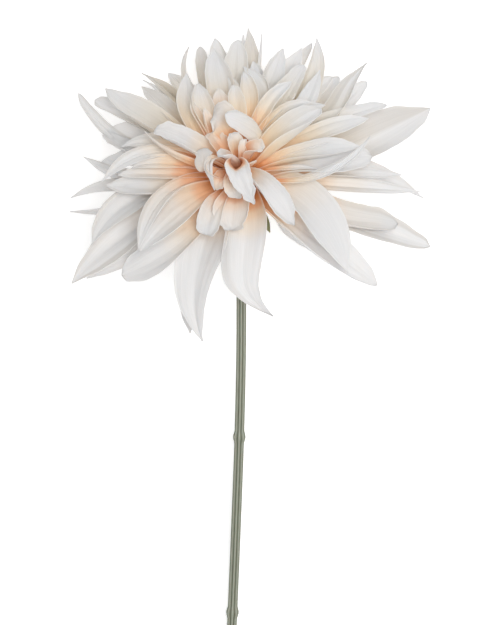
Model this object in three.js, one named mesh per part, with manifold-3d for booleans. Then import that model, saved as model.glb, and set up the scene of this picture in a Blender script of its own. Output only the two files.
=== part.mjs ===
// One cut dahlia bloom of the large, loose-petalled kind, lying down.
// It rests on two of its back petals and on the cut end of its stem.
// Two pieces: the bloom, with its petals fused to the small disc they grow from,
// and the ribbed green stem with its leaf joints, calyx and bracts.
import * as THREE from "three";
import { mergeVertices } from "three/addons/utils/BufferGeometryUtils.js";
import Module from "manifold-3d";

const wasm = await Module();
wasm.setup();

// Driving dimensions, in millimetres and degrees
const BLADE_THICK = 0.8;
const FINEST = 0.14;
const DISC_RADIUS = 11.5;
const DISC_TOP = 12.5;
const DISC_BOTTOM = -9;
const CALYX_GAP = 0.3;
const CALYX_RADIUS = 8.6;
const CALYX_LENGTH = 13;
const STEM_RADIUS = 2.75;
const STEM_RIDGE = 0.28;
const RIDGES = 8;
const JOINT_SWELL = 0.9;
const JOINT_REACH = 4.5;
const BRACT_COUNT = 7;
const BRACT_LENGTH = 19;
const BRACT_WIDTH = 7.5;
const BRACT_FIRST = -43;

// The flower's base hangs this far above the surface, over this place on it
const BASE_PLACE = new THREE.Vector3(-6.2, 107.7, 69.8);

// The bloom faces half upward and half along +Y
const FACE = new THREE.Vector3(0, 0.6, 0.8);
const UPWARD = new THREE.Vector3(0, 0.8, -0.6);
const ACROSS = new THREE.Vector3(1, 0, 0);

// Petal places are as they look from this height straight above the flower's base
const EYE_HEIGHT = 1979;
const EYE_X = 6;
const EYE_Y = -79.5;

// Layers from the back of the bloom to its heart: how far from the flower's axis
// and how high on the disc a petal is rooted, how much it arches over the straight
// way to its tip, and how strongly it is rolled at its root and at its tip
const LAYERS = [
  { radius: 10.0, height: -4.0, arch: 5, rootCurl: 1.5, tipCurl: 0.50 },
  { radius: 9.5, height: -1.0, arch: 7, rootCurl: 1.5, tipCurl: 0.50 },
  { radius: 8.0, height: 3.0, arch: 7, rootCurl: 1.6, tipCurl: 0.55 },
  { radius: 5.5, height: 7.0, arch: 5, rootCurl: 1.8, tipCurl: 0.70 },
  { radius: 2.5, height: 9.5, arch: 4, rootCurl: 2.0, tipCurl: 0.60 },
];
const ROOT_WIDTH = 4.5;
const BELLY = 0.6;
const WAVE = 1.2;
const TWIST_MOST = 10;
const ALONG = [0, 0.3, 0.6, 0.84, 1];
const LANES = [-1, 0, 1];

// The few large petals, and the one that opens like a trumpet, have more sections
const FINE_ALONG = [0, 0.18, 0.34, 0.46, 0.6, 0.74, 0.86, 0.94, 1];
const FINE_LANES = [-1, -0.5, 0, 0.5, 1];

// The petals in sight. Each row: layer, where the middle of the petal lies
// (across, up), where its tip lies (across, up), how far the tip stands in front
// of the base, the petal's width, and what else shapes it
const RIGHT = [
  [1, 53, 36, 64, 72, 8, 20, { flick: -13, rootWidth: 10, belly: 0.4, blunt: -0.2, twist: 0 }],
  [1, 43, 29, 76, 59, 2, 15, { blunt: 0.9 }],
  [0, 58, 15, 114, 43, -8, 38, { belly: 0.62, blunt: 0.3, twist: 0 }],
  [1, 47, 31, 88, 45, 12, 15, { blunt: 0.9 }],
  [2, 42, 25, 77, 37, 18, 15, { blunt: 0.3 }],
  [3, 39, 15, 72, 20, 25, 18, { tipCurl: 0.9 }],
  [2, 48, 3, 78, 26, 25, 6, { twist: 40 }],
  [1, 42, 10, 79, 14, 14, 24, { blunt: 0.8, bendLift: 19 }],
  [3, 27, 7, 46, 7, 22, 5],
  [0, 60, 7, 110, -11, -22, 21],
  [1, 51, 4, 97, 3, -5, 16],
  [1, 54, -3, 108, -7, -12, 15],
  [1, 46, -19, 94.5, -26.5, -20, 26, { blunt: 1.1, twist: 0, bendLift: -8, tipCurl: 0.9 }],
  [0, 57, -20, 114, -40, -30, 23, { blunt: 0.9, twist: 0 }],
  [2, 40, -15.2, 64.5, -55.5, -12, 31, { rootWidth: 14, bendLift: 6, twist: 0 }],
  [0, 45.8, -36, 82.5, -63, -35, 28, { blunt: 0.55, rootWidth: 22, belly: 0.45, twist: 0 }],
];
const BELOW = [
  [1, 1.5, -43, 7, -84, -38, 32,
    { flick: 13, snake: 2, rootWidth: 28, belly: 0.35, twist: 0, fine: true }],
  [1, -25, -50, -26, -97, -52, 33,
    { rootWidth: 16, belly: 0.34, blunt: -0.1, twist: 0, flick: 4, fine: true }],
  [0, -25, -49, -30, -92, -60, 20],
  [2, -4, -14, -5, -30, 0, 25, { blunt: 0.9, twist: 0 }],
  [2, -15, -17, -20, -33, 0, 17, { blunt: 1.3, twist: 0 }],
];
const LEFT = [
  [2, -42, -7, -61, -42, 6, 15, { twist: 0 }],
  [2, -34, -17, -60, -43, -3, 24, { twist: 0 }],
  [1, -36, -37, -71, -57, -28, 24, { blunt: 1 }],
  [0, -51, -35, -92, -59, -38, 19],
  [1, -55, -24, -101, -62, -30, 26, { blunt: 0.2 }],
  [1, -59, -8, -89, -39, -12, 25],
  [0, -57, -16, -102, -19, -40, 8],
  [0, -60, -3, -100, -6, -25, 12, { flick: 6, blunt: 0.3, twist: 0 }],
  [1, -45, -5, -80, -3, 2, 21, { twist: 0 }],
  [2, -45, 4, -73, 3, 8, 12],
  [2, -48, 17, -83, -1, 15, 13],
  [2, -43, 10, -65, 7, 14, 10],
  [1, -45, 12, -83, 11, -5, 16, { blunt: 0.5 }],
  [0, -54, -4, -94, 14, -20, 11, { snake: 1.5 }],
  [0, -62.5, 17, -97, 52, -10, 11, { belly: 0.35, blunt: 0.9, twist: 0 }],
  [0, -50, 15, -79, 30, -5, 27, { blunt: 1.1, twist: 0 }],
  [1, -48, 30, -87, 48, -2, 17, { blunt: 1 }],
  [1, -46, 30, -84, 52, 8, 23, { flick: -5, blunt: 0.1 }],
  [1, -36, 34, -59, 56, 5, 15],
  [0, -32, 43, -59, 64, -5, 10, { belly: 0.45, blunt: -0.6 }],
  [0, -34, 41, -58.5, 60, -8, 8, { belly: 0.45, blunt: -0.6 }],
  [3, -27, 19, -51, 30, 32, 20, { blunt: 1.3 }],
  [3, -35, 12, -57, 29, 24, 8, { lean: 55 }],
  [2, -42, 21, -71, 20, 10, 15],
];
const ABOVE = [
  [0, -27, 45, -43, 64, -14.2, 13],
  [1, -32, 48, -30.5, 80, 5, 8, { lean: 55, belly: 0.45 }],
  [3, -19, 33, -25, 58, 30, 17, { blunt: 0.4, twist: 0 }],
  [2, -26, 33, -32, 64, 22, 18, { twist: 0 }],
  [3, -22, 31, -29, 48, 30, 8],
  [3, -17, 29, -21, 43, 33, 10],
  [2, -11, 44, -16, 79, 20, 22],
  [1, -8, 48, -15, 85, 8, 17, { blunt: 0.4 }],
  [1, -17, 45, -24, 80, 8, 11, { twist: 0, blunt: 1 }],
  [1, -1, 43, 2, 83, 0, 15],
  [1, -3, 45, -1, 84, 15, 18, { blunt: 0.8, belly: 0.65 }],
  [0, 7, 47, 5, 91, 6, 15],
  [1, 9, 48, 13, 87.5, 8, 3.5, { lean: 40, blunt: 0.4, rootWidth: 3 }],
  [0, 1, 48, 2, 87, 3, 10],
  [3, 6, 43, 2, 65, 25, 14],
  [2, 13, 44, 2, 68, 18, 16],
  [1, 10, 44, 8, 71, 12, 13, { blunt: 0.5 }],
  [3, -1, 36, -4, 57, 33, 13, { blunt: 0.6 }],
  [3, -9, 35, -13, 55, 28, 14, { blunt: 0.2 }],
  [2, -1, 41, -7, 64, 22, 9],
];
const UPPER_RIGHT = [
  [1, 14, 45, 26, 79, 12, 16, { blunt: 0.2 }],
  [1, 19, 44, 37, 79, 5, 17, { blunt: 0.3 }],
  [2, 21, 41, 38, 69, 16, 15, { blunt: 0.9 }],
  [0, 22, 46, 43, 82, -2.9, 14, { blunt: 0.6 }],
  [1, 38, 45, 46, 85, 10, 14],
  [2, 32, 34, 48, 66, 18, 14],
  [0, 29, 36, 55, 62, 5, 15, { blunt: 0.9 }],
  [0, 38, 38, 59, 62, -5, 18, { blunt: 0.5 }],
  [3, 14, 40, 31, 59, 28, 13, { blunt: 0.3 }],
  [3, 20, 35, 43, 47, 28, 12],
  [2, 24, 31, 51, 45, 24, 20],
  [3, 25, 24, 48.5, 43, 32, 25, { blunt: 0.6, rootCurl: 2.2, twist: 0 }],
];
const HEART = [
  [4, -1.5, 5, 8.5, -14.5, 20, 18.5,
    { bendLift: 35, belly: 0.25, blunt: 0.5, rootWidth: 17, rootCurl: 2.7, tipCurl: 0.4,
      mouth: 0.4, fine: true }],
  [4, 16.5, -6, 32.5, -27, 8, 18, { blunt: 0.2, bendLift: 24, rootWidth: 9, twist: 0 }],
  [4, -10, 2, -14, -6, 18, 10, { bendLift: 24, blunt: 0.5 }],
  [4, -4, -1, -1, -11, 17, 14, { bendLift: 24, blunt: 0.5 }],
  [4, -17.2, 12.5, -15.3, -6, 22, 5.5, { bendLift: 33, blunt: 0.5 }],
  [4, -19, 6, -21.5, 19, 27, 11,
    { belly: 0.75, blunt: 1.5, bendLift: 30, lean: -33, rootCurl: 1.2, tipCurl: 0.2, twist: 0 }],
  [4, -7, 12, -13, 14, 37, 14, { blunt: 0.8, bendLift: 28, tipCurl: 1.5 }],
  [4, -9, 17, -18, 28, 28, 15, { blunt: 1.2, bendLift: 22, twist: 0 }],
  [4, 13.2, 25.5, -9, 39, 44, 18, { belly: 0.7, blunt: 0.9, bendLift: 24, lean: -48, twist: 0 }],
  [4, 7, 17, 13.5, 18, 32, 15, { bendLift: 28, tipCurl: 1, blunt: 0.9 }],
  [4, -7, 31.5, -16.5, 37, 32, 22,
    { belly: 0.75, blunt: 1.5, bendLift: 29, lean: -18, twist: 0, tipCurl: 0.3 }],
  [4, -2, 19, -5, 28, 33, 12, { blunt: 1 }],
  [4, 2, 16, 3, 24.5, 36, 8, { blunt: 1.2 }],
  [4, 6, 9, 9.5, 11.5, 32, 7, { bendLift: 26 }],
];

// The petals out of sight, ring by ring behind the others
const HIDDEN_RINGS = [
  { count: 11, layer: 0, reach: 60, lift: -34, width: 20, turn: 15 },
  { count: 7, layer: 0, reach: 46, lift: -44, width: 17, turn: 33 },
];
const HIDDEN_SCATTER = 6;

// None of these grows between these two angles, where the stem comes out
const BARE_FROM = 248;
const BARE_TO = 335;

// Where the stem runs, seen from the flower's base: the two leaf joints come after
const STEM_ROUTE = [
  [0, -9.6, -12.8], [0, -15, -20], [0.3, -27, -31], [0.6, -50, -38.5], [0.6, -100, -44],
  [-0.6, -156, -50], [-2.6, -210, -56.5], [-4.9, -266, -63], [-7, -312, -66.8],
];
const JOINT_PLACES = [-156, -265];
const STEM_STEPS = 34;

// A seeded draw between 0 and 1
function makeDraw(seed) {
  let state = seed;
  return () => {
    state = (state * 16807) % 2147483647;
    return state / 2147483647;
  };
}

// A point given as it looks from above, and how far it stands in front of the base
function seenPoint(x, y, lift) {
  let z = 0;
  let px = x;
  let py = y;
  for (let i = 0; i < 6; i += 1) {
    const nearer = EYE_HEIGHT / (EYE_HEIGHT - z);
    px = EYE_X + (x - EYE_X) / nearer;
    py = EYE_Y + (y - EYE_Y) / nearer;
    z = (lift - FACE.y * py) / FACE.z;
  }
  return new THREE.Vector3(px, py, z);
}

// The way out from the flower's axis at an angle round it, counted from the right
function wayOut(degrees) {
  const angle = THREE.MathUtils.degToRad(degrees);
  return ACROSS.clone().multiplyScalar(Math.cos(angle)).addScaledVector(UPWARD, Math.sin(angle));
}

// A closed solid from rings that all have the same number of points
function loft(rings) {
  const around = rings[0].length;
  const points = rings.flat();
  const triangles = [];
  for (let i = 0; i < rings.length - 1; i += 1) {
    for (let j = 0; j < around; j += 1) {
      const a = i * around + j;
      const b = i * around + ((j + 1) % around);
      triangles.push(a, b, b + around, a, b + around, a + around);
    }
  }
  return { points, triangles };
}

// Closes a round loft with a fan at each end
function closeRound(body, rings) {
  const around = rings[0].length;
  const last = (rings.length - 1) * around;
  const middle = (ring) => ring
    .reduce((sum, p) => sum.add(p), new THREE.Vector3())
    .divideScalar(around);
  const first = body.points.length;
  body.points.push(middle(rings[0]), middle(rings.at(-1)));
  for (let j = 0; j < around; j += 1) {
    const k = (j + 1) % around;
    body.triangles.push(first, k, j);
    body.triangles.push(first + 1, last + j, last + k);
  }
  return body;
}

// Closes a flat loft whose ring runs along the top face and back along the bottom
function closeFlat(body, rings) {
  const around = rings[0].length;
  const last = (rings.length - 1) * around;
  for (let j = 0; j < around / 2 - 1; j += 1) {
    const back = around - 1 - j;
    body.triangles.push(j, back, back - 1, j, back - 1, j + 1);
    body.triangles.push(last + j, last + j + 1, last + back - 1);
    body.triangles.push(last + j, last + back - 1, last + back);
  }
  return body;
}

function toSolid(body) {
  const vertProperties = new Float32Array(body.points.flatMap((p) => p.toArray()));
  const triVerts = new Uint32Array(body.triangles);
  return new wasm.Manifold(new wasm.Mesh({ numProp: 3, vertProperties, triVerts }));
}

// Leaves out the small pockets that close up inside a solid
function outerShell(solid) {
  const bigger = (a, b) => (b.volume() > a.volume() ? b : a);
  return solid.decompose().reduce(bigger);
}

// Joins solids into one
function fuse(solids) {
  return outerShell(outerShell(wasm.Manifold.union(solids)).asOriginal().simplify(FINEST));
}

function toGeometry(solid) {
  const { vertProperties, triVerts } = solid.getMesh();
  const geometry = new THREE.BufferGeometry();
  geometry.setAttribute("position", new THREE.BufferAttribute(vertProperties, 3));
  geometry.setIndex(new THREE.BufferAttribute(triVerts, 1));
  geometry.computeVertexNormals();
  return geometry;
}

// Half the blade's width, as a share of its fullest, at a place along it
function breadth(t, belly, rootShare, blunt) {
  if (t < belly) {
    const rise = Math.sin((t / belly) * (Math.PI / 2)) ** 1.3;
    return rootShare + (1 - rootShare) * rise;
  }
  const fall = (t - belly) / (1 - belly);
  return Math.max(1 - fall * fall, 0) ** (1 - 0.55 * blunt);
}

// A petal or bract: a thin blade that runs from its root through a bend to its tip,
// rolled across its width, waved along its rims
function blade(root, bend, tip, width, look) {
  const control = bend.clone().multiplyScalar(2).addScaledVector(root, -0.5).addScaledVector(tip, -0.5);
  const outward = bend.clone().addScaledVector(FACE, -bend.dot(FACE)).normalize();
  const around = new THREE.Vector3().crossVectors(FACE, outward);
  const rootShare = Math.min(1, look.rootWidth / width);
  const lanes = look.fine ? FINE_LANES : LANES;
  const rings = (look.fine ? FINE_ALONG : ALONG).map((t) => {
    const s = 1 - t;
    const spine = new THREE.Vector3()
      .addScaledVector(root, s * s)
      .addScaledVector(control, 2 * s * t)
      .addScaledVector(tip, t * t);
    const run = new THREE.Vector3()
      .addScaledVector(root, -s)
      .addScaledVector(control, s - t)
      .addScaledVector(tip, t)
      .normalize();
    const side = around.clone().addScaledVector(run, -around.dot(run)).normalize();
    const front = new THREE.Vector3().crossVectors(run, side);
    const late = Math.max((t - 0.7) / 0.3, 0) ** 2;
    spine.addScaledVector(side, late * look.flick + Math.sin(2 * Math.PI * t) * look.snake);
    const lean = THREE.MathUtils.degToRad(look.lean + look.twist * t ** 1.3);
    const wide = side.clone().multiplyScalar(Math.cos(lean)).addScaledVector(front, Math.sin(lean));
    const deep = front.clone().multiplyScalar(Math.cos(lean)).addScaledVector(side, -Math.sin(lean));
    const plainHalf = 0.5 * width * breadth(t, look.belly, rootShare, look.blunt);
    const rolled = look.mouth ? 1 / (1 + Math.exp((t - look.mouth) / 0.05)) : s ** 1.5;
    const curl = look.rootCurl * rolled + look.tipCurl * (1 - rolled);
    const middle = Math.sin(Math.PI * t);
    const face = (v, height) => {
      const angle = curl * v;
      const uneven = 0.05 * Math.sin(9 * t + 5 * look.phase) + 0.09 * v * Math.sin(6 * t + 6 * look.phase);
      const half = Math.max(plainHalf * (1 + middle * uneven), 0.5);
      const rim = look.wave * middle * v * v * Math.sin(8 * t + look.phase + v);
      return spine.clone()
        .addScaledVector(wide, (half * Math.sin(angle)) / curl - height * Math.sin(angle))
        .addScaledVector(deep, (half * (1 - Math.cos(angle))) / curl + height * Math.cos(angle) + rim);
    };
    const upper = lanes.map((v) => face(-v, BLADE_THICK / 2));
    const lower = lanes.map((v) => face(v, -BLADE_THICK / 2));
    return [...upper, ...lower];
  });
  return toSolid(closeFlat(loft(rings), rings));
}

function petal(layerNumber, bend, tip, width, look, draw) {
  const layer = LAYERS[layerNumber];
  const outward = bend.clone().addScaledVector(FACE, -bend.dot(FACE)).normalize();
  const root = outward.multiplyScalar(layer.radius).addScaledVector(FACE, layer.height);
  const phase = draw() * 2 * Math.PI;
  const plain = {
    rootWidth: ROOT_WIDTH, belly: BELLY, blunt: 0, flick: 0, snake: 0, lean: 0,
    twist: TWIST_MOST * Math.sin(3 * phase + 1), wave: WAVE * (1 + 0.5 * Math.sin(4 * phase)),
  };
  return blade(root, bend, tip, width, { ...plain, ...layer, ...look, phase });
}

function seenPetal([layerNumber, bendX, bendY, tipX, tipY, lift, width, look = {}], draw) {
  const layer = LAYERS[layerNumber];
  const bendLift = look.bendLift ?? (layer.height + lift) / 2 + layer.arch;
  const bend = seenPoint(bendX, bendY, bendLift);
  return petal(layerNumber, bend, seenPoint(tipX, tipY, lift), width, look, draw);
}

function hiddenPetals(ring, draw) {
  const layer = LAYERS[ring.layer];
  const solids = [];
  for (let i = 0; i < ring.count; i += 1) {
    const degrees = ring.turn + (360 * i) / ring.count + (draw() - 0.5) * 14;
    const reach = ring.reach + (draw() - 0.5) * HIDDEN_SCATTER;
    const lift = ring.lift + (draw() - 0.5) * HIDDEN_SCATTER;
    if (degrees <= BARE_FROM || degrees >= BARE_TO) {
      const outward = wayOut(degrees);
      const bend = outward.clone().multiplyScalar(reach * 0.55)
        .addScaledVector(FACE, (layer.height + lift) / 2 + layer.arch);
      const tip = outward.clone().multiplyScalar(reach).addScaledVector(FACE, lift);
      solids.push(petal(ring.layer, bend, tip, ring.width, {}, draw));
    }
  }
  return solids;
}

// A solid turned about the flower's axis, from its radius and height steps
function turnedSolid(steps) {
  const shape = new THREE.LatheGeometry(steps.map(([x, y]) => new THREE.Vector2(x, y)), 14);
  shape.deleteAttribute("normal");
  shape.deleteAttribute("uv");
  shape.applyQuaternion(new THREE.Quaternion().setFromUnitVectors(new THREE.Vector3(0, 1, 0), FACE));
  const merged = mergeVertices(shape, 1e-4);
  return new wasm.Manifold(new wasm.Mesh({
    numProp: 3,
    vertProperties: new Float32Array(merged.attributes.position.array),
    triVerts: new Uint32Array(merged.index.array),
  }));
}

// The small disc that the petals grow from
function disc() {
  return turnedSolid([
    [0, DISC_BOTTOM], [DISC_RADIUS * 0.9, DISC_BOTTOM], [DISC_RADIUS, -5],
    [DISC_RADIUS, 0], [DISC_RADIUS * 0.8, 6], [DISC_RADIUS * 0.45, 10.5], [0, DISC_TOP],
  ]);
}

function bloom() {
  const draw = makeDraw(411);
  const inSight = [RIGHT, BELOW, LEFT, ABOVE, UPPER_RIGHT, HEART].flat();
  const solids = [disc()];
  for (const row of inSight) solids.push(seenPetal(row, draw));
  for (const ring of HIDDEN_RINGS) solids.push(...hiddenPetals(ring, draw));
  return fuse(solids);
}

// The stem's ridged section, swollen at its leaf joints
function stem() {
  const route = new THREE.CatmullRomCurve3(STEM_ROUTE.map((p) => new THREE.Vector3(...p)));
  const rings = [];
  for (let i = 0; i <= STEM_STEPS; i += 1) {
    const u = i / STEM_STEPS;
    const centre = route.getPointAt(u);
    const run = route.getTangentAt(u);
    const side = new THREE.Vector3().crossVectors(run, ACROSS).normalize();
    const across = new THREE.Vector3().crossVectors(side, run);
    const near = JOINT_PLACES.map((y) => Math.max(0, 1 - Math.abs(centre.y - y) / JOINT_REACH));
    const swell = JOINT_SWELL * Math.max(...near);
    const ring = [];
    for (let j = 0; j < RIDGES * 2; j += 1) {
      const angle = (Math.PI * j) / RIDGES;
      const radius = STEM_RADIUS + swell + (j % 2 ? -STEM_RIDGE : STEM_RIDGE);
      ring.push(centre.clone()
        .addScaledVector(across, radius * Math.cos(angle))
        .addScaledVector(side, radius * Math.sin(angle)));
    }
    rings.push(ring);
  }
  return toSolid(closeRound(loft(rings), rings));
}

// The green cup under the petals
function calyx() {
  const top = DISC_BOTTOM - CALYX_GAP;
  const bottom = top - CALYX_LENGTH;
  return turnedSolid([
    [0, bottom], [STEM_RADIUS + 0.6, bottom], [STEM_RADIUS + 2, bottom + 3],
    [CALYX_RADIUS, top - 5], [CALYX_RADIUS, top - 1.2], [CALYX_RADIUS - 1.2, top], [0, top],
  ]);
}

// One of the small green leaves bent back under the bloom
function bract(number, draw) {
  const outward = wayOut(BRACT_FIRST + (360 * number) / BRACT_COUNT + (draw() - 0.5) * 6);
  const length = BRACT_LENGTH * (0.9 + 0.2 * draw());
  const at = (reach, lift) => outward.clone().multiplyScalar(reach).addScaledVector(FACE, lift);
  const look = {
    rootWidth: 4, belly: 0.5, blunt: 0, flick: 0, snake: 0, lean: 0, twist: 0, wave: 0,
    rootCurl: 0.9, tipCurl: 0.5, phase: 0,
  };
  return blade(at(6, -14), at(6 + length * 0.55, -18), at(6 + length, -27), BRACT_WIDTH, look);
}

function green() {
  const draw = makeDraw(97);
  const solids = [stem(), calyx()];
  for (let i = 0; i < BRACT_COUNT; i += 1) solids.push(bract(i, draw));
  return fuse(solids);
}

const dahlia = new THREE.Group();

const bloomMesh = new THREE.Mesh(
  toGeometry(bloom()),
  new THREE.MeshStandardMaterial({ color: 0xeae6df, roughness: 0.8, metalness: 0, flatShading: true }),
);
bloomMesh.name = "bloom";
bloomMesh.position.copy(BASE_PLACE);
dahlia.add(bloomMesh);

const greenMesh = new THREE.Mesh(
  toGeometry(green()),
  new THREE.MeshStandardMaterial({ color: 0x84887a, roughness: 0.75, metalness: 0, flatShading: true }),
);
greenMesh.name = "stem_and_calyx";
greenMesh.position.copy(BASE_PLACE);
dahlia.add(greenMesh);

export default dahlia;
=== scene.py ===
"""One cut dahlia bloom with its petals in layers, lying on its back petals and the
end of its stem. Lengths are metres; MM turns millimetres into them."""
import math

import bpy
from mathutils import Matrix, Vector


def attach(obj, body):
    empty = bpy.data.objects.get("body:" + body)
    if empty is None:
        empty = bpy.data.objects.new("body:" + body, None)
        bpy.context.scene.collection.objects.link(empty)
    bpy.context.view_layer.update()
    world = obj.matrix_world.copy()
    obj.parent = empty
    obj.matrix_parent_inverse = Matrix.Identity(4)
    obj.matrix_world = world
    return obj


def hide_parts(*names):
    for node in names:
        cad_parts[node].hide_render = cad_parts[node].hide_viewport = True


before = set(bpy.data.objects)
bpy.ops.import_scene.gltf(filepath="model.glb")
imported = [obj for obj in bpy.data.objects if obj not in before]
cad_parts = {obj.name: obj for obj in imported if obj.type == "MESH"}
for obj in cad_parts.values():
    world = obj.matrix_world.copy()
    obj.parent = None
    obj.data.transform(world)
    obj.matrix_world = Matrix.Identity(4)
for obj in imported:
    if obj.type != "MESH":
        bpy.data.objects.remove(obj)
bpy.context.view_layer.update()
MM = 0.001

# The table, the light and the camera. The flower lies on a plain pale table under one
# broad soft lamp and an even pale room. The camera looks straight down from where
# the picture was taken, and the stem leaves the picture at its lower edge.
TABLE_SIZE = 24
TABLE_DROP = 0.0006
TABLE_WHITE = (0.97, 0.97, 0.97, 1)
TABLE_GLOW = 0.42
ROOM_WHITE = (0.96, 0.98, 1.0, 1)
ROOM_LIGHT = 0.44
LAMP_PLACE = Vector((0.5, 0.12, 2.85))
LAMP_AIM = Vector((0, 0.08, 0.05))
LAMP_SIZE = 1.6
LAMP_WATTS = 48
LAMP_WHITE = (1.0, 0.985, 0.965)
# where the base of the petals lies, and the eye from there in millimetres
BASE_PLACE = Vector((-6.2, 107.7, 69.8)) * MM
EYE_X = 6
EYE_Y = -79.5
EYE_HEIGHT = 1979
LENS = 190
PICTURE_TALL = 36
SIGHT_END = 20


def make_material(name, values):
    """A new material, and its surface with these values."""
    material = bpy.data.materials.new(name)
    material.use_nodes = True
    surface = material.node_tree.nodes["Principled BSDF"]
    for value_name, value in values.items():
        surface.inputs[value_name].default_value = value
    return material, surface


bpy.ops.object.select_all(action="DESELECT")
bpy.ops.mesh.primitive_plane_add(size=TABLE_SIZE, location=(0, 0, -TABLE_DROP))
table = bpy.context.object
table.name = "table"
table_paint, _ = make_material("table_paint", {
    "Base Color": TABLE_WHITE,
    "Roughness": 0.9,
    "Specular IOR Level": 0.1,
    "Emission Color": (1, 1, 1, 1),
    "Emission Strength": TABLE_GLOW,
})
table.data.materials.append(table_paint)

room = bpy.data.worlds.new("room")
bpy.context.scene.world = room
room.use_nodes = True
room_air = room.node_tree.nodes["Background"]
room_air.inputs["Color"].default_value = ROOM_WHITE
room_air.inputs["Strength"].default_value = ROOM_LIGHT

bpy.ops.object.light_add(type="AREA", location=LAMP_PLACE)
lamp = bpy.context.object
lamp.name = "soft_lamp"
lamp.data.shape = "DISK"
lamp.data.size = LAMP_SIZE
lamp.data.energy = LAMP_WATTS
lamp.data.color = LAMP_WHITE
lamp.rotation_euler = (LAMP_AIM - lamp.location).to_track_quat("-Z", "Y").to_euler()

bpy.ops.object.camera_add(location=BASE_PLACE + Vector((EYE_X, EYE_Y, EYE_HEIGHT)) * MM)
camera = bpy.context.object
camera.data.lens = LENS
camera.data.sensor_fit = "VERTICAL"
camera.data.sensor_height = PICTURE_TALL
camera.data.clip_end = SIGHT_END
bpy.context.scene.camera = camera
bpy.context.scene.view_settings.view_transform = "Standard"

# The petals. Each is a thin living blade, cream white with a peach and rust root,
# waved along its rims and a little torn at its tip. They are rooted in five layers on
# the disc, the hindmost bent back, and the last ones rolled over the heart.
FACE = Vector((0, 0.6, 0.8))
UPWARD = Vector((0, 0.8, -0.6))
ACROSS = Vector((1, 0, 0))
PETAL_STEPS = 40
PETAL_LANES = 24
PETAL_THICK = 0.42
NARROWEST = 0.35
SMOOTH_ANGLE = math.radians(50)

# what a petal has unless its row says otherwise
ROOT_WIDTH = 6
BELLY = 0.6
WAVE = 1.2
WAVE_SPREAD = 0.5
TWIST_MOST = 10
FOLD_MOST = 0.8
FOLD_FROM = 0.6
# the most shade painted on a folded rim
PAINTED_SHADE_MOST = 0.3
TORN = 0.45

# what a petal's own phase draws: how often each comes and goes with it, and its start
DRAWN_LEFT = (7, 0)
DRAWN_RIGHT = (11, 2)
DRAWN_TWIST = (3, 1)
DRAWN_WAVE = (4, 0)
DRAWN_WARMTH = (5, 0)
DRAWN_TONE = (9, 0)

# how its outline, roll and folds change along and across it
SHOULDER = 1.3
BLUNTNESS = 0.55
FLICK_FROM = 0.7
TWIST_LATE = 1.3
OPENING = 1.5
MOUTH_SOFT = 0.05
ROLL_STEPS = 9
FOLD_SPREAD = 0.25
FOLD_FADE = 0.7
GROOVE_DEEP = 0.7
GROOVE_HALF = 0.12
TEARS_FROM = 0.78
TEARS_APART = 1.3
NOTCHES_FROM = 0.35
NOTCHES_APART = 2
RAG_FROM = 0.8
RAG_HALF = 4

# its ripples: how strong each is, how often it comes along or across the blade, and how
# much a petal's own phase moves it
SWELL = (0.05, 9, 5)
RIM_SWELL = (0.09, 6, 6)
TEARS = (1.1, 38, 5)
NOTCHES = (0.05, 72, 9)
RIM_WAVE = (1, 8, 1)
PLEATS = (0.45, 6, 3)
PLEATS_SLANT = 2
FINE_PLEATS = (0.14, 17, 5)
FINE_PLEATS_SLANT = 3
RAG = (1, 13, 7)
FINE_RAG = (0.6, 29, 3)

# how dark the shade painted on its folded rims and on left-hand petals is, how warm its root is and how
# cool its tip is
LEFTWARD_PAINTED_SHADE = 0.13
PAINTED_SHADE_SOFT = 0.12
WARMTH_LEAST = 0.85
WARMTH_SPREAD = 0.3
THROAT_WARMTH = 2.5
THROAT_SOFT = 0.03
COOL_SIDE = 0.62
COOL_BELOW = 0.55
COOL_SPREAD = 0.2
COOL_ALONG = 2.2
COOL_FROM = 1.05

# colours: those of the blush are given by how far up the blade each lies
BLUSH_STOPS = [
    (0.0, (0.34, 0.11, 0.032)),
    (0.11, (0.63, 0.285, 0.125)),
    (0.21, (0.80, 0.485, 0.315)),
    (0.32, (0.845, 0.70, 0.575)),
    (0.45, (0.835, 0.778, 0.71)),
    (0.65, (0.832, 0.817, 0.796)),
]
BLOTCH_SCALE = 60
BLOTCH_REACH = 0.16
VEIN_STRETCH = (3, 46, 1)
VEIN_NOISE = (0.3, 0.7)
VEIN_SHADES = (0.93, 1.0)
VEIN_RELIEF = 0.25
# a warm tint, partly the petals' own and partly painted golden shade in their depths
WARM_TINT_AND_SHADE = (1.0, 0.905, 0.76, 1)
COOL_CAST = (0.975, 0.986, 1.014, 1)
# the colour of the painted shade
PAINTED_SHADE_COLOUR = (0.66, 0.62, 0.56, 1)
RIM_COLOUR = (0.90, 0.88, 0.86, 1)
RIM_PLACES = (0.44, 0.5)
RIM_SHARES = (0, 0.32)
# painted light: where along the blade the petals glow, and how strongly
PAINTED_GLOW_PLACES = (0.1, 0.6)
PAINTED_GLOW_STRENGTHS = (0.13, 0.02)
RELIEF_DEEP = 0.0004

# for each layer, where its petals are rooted, how far their middles bulge, how they roll
# and how warm they are
LAYERS = {
    "back": dict(radius=10.0, height=-4.0, arch=5, root_curl=1.5, tip_curl=0.50, warmth=0.85),
    "outer": dict(radius=9.5, height=-1.0, arch=7, root_curl=1.5, tip_curl=0.50, warmth=0.95),
    "middle": dict(radius=8.0, height=3.0, arch=7, root_curl=1.6, tip_curl=0.55, warmth=1.05),
    "inner": dict(radius=5.5, height=7.0, arch=5, root_curl=1.8, tip_curl=0.70, warmth=1.15),
    "heart": dict(radius=2.5, height=9.5, arch=4, root_curl=2.0, tip_curl=0.60, warmth=1.2),
}
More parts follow.
